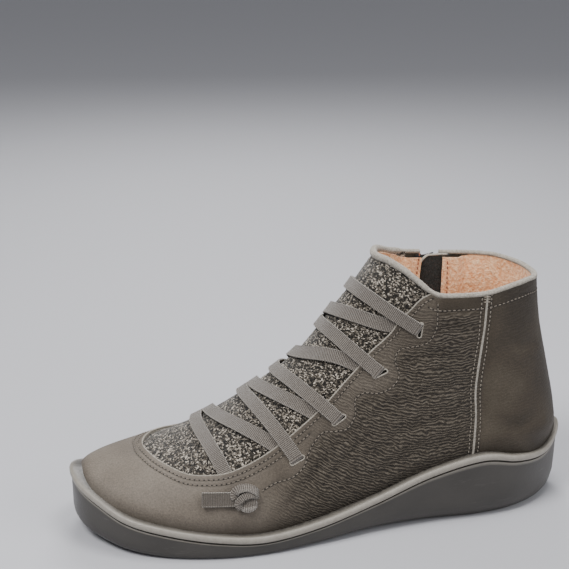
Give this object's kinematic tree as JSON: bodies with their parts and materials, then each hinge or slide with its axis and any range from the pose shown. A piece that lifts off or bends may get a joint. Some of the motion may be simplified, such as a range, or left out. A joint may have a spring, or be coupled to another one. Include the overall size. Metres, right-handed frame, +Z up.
{
  "type": "lace-up ankle boot",
  "caption": "Left leather ankle boot with a flat elastic lace over a textile vamp panel, an inner side zip and a moulded sole with a raised rim.",
  "frame": {"origin": "middle of the sole's box, on the floor that it stands on", "axes": "+X to the toe, +Y to the outer side of the left foot, +Z up"},
  "size_m": [0.264, 0.099, 0.1404],
  "materials": {
    "sole_rubber": "matt moulded, scuffed",
    "insole_felt": "matt felt",
    "leather": "creased, soft sheen",
    "textile": "matt heathered wool",
    "elastic": "matt ribbed band",
    "zip_tape": "matt woven tape",
    "zip_teeth": "matt coil",
    "dark_metal": "dark plated, satin"
  },
  "bodies": {
    "boot": {"outsole": "sole_rubber", "insole": "insole_felt", "upper": "leather", "vamp_panel": "textile", "collar_binding": "leather", "lace_crossings": "elastic", "lace_knot_toe": "elastic", "lace_knot_collar": "elastic", "zip_tape_front": "zip_tape", "zip_tape_rear": "zip_tape", "zip_chain": "zip_teeth", "zip_guard": "textile", "zip_slider": "dark_metal"},
    "zip_pull": {"zip_pull_tab": "dark_metal"}
  },
  "joints": [
    {"name": "zip_pull_swing", "type": "hinge", "parent": "boot", "child": "zip_pull", "pos_m": [-0.06454, -0.03278, 0.11625], "axis": [-0.998, -0.058, -0.026], "range_deg": [0, 165]}
  ]
}
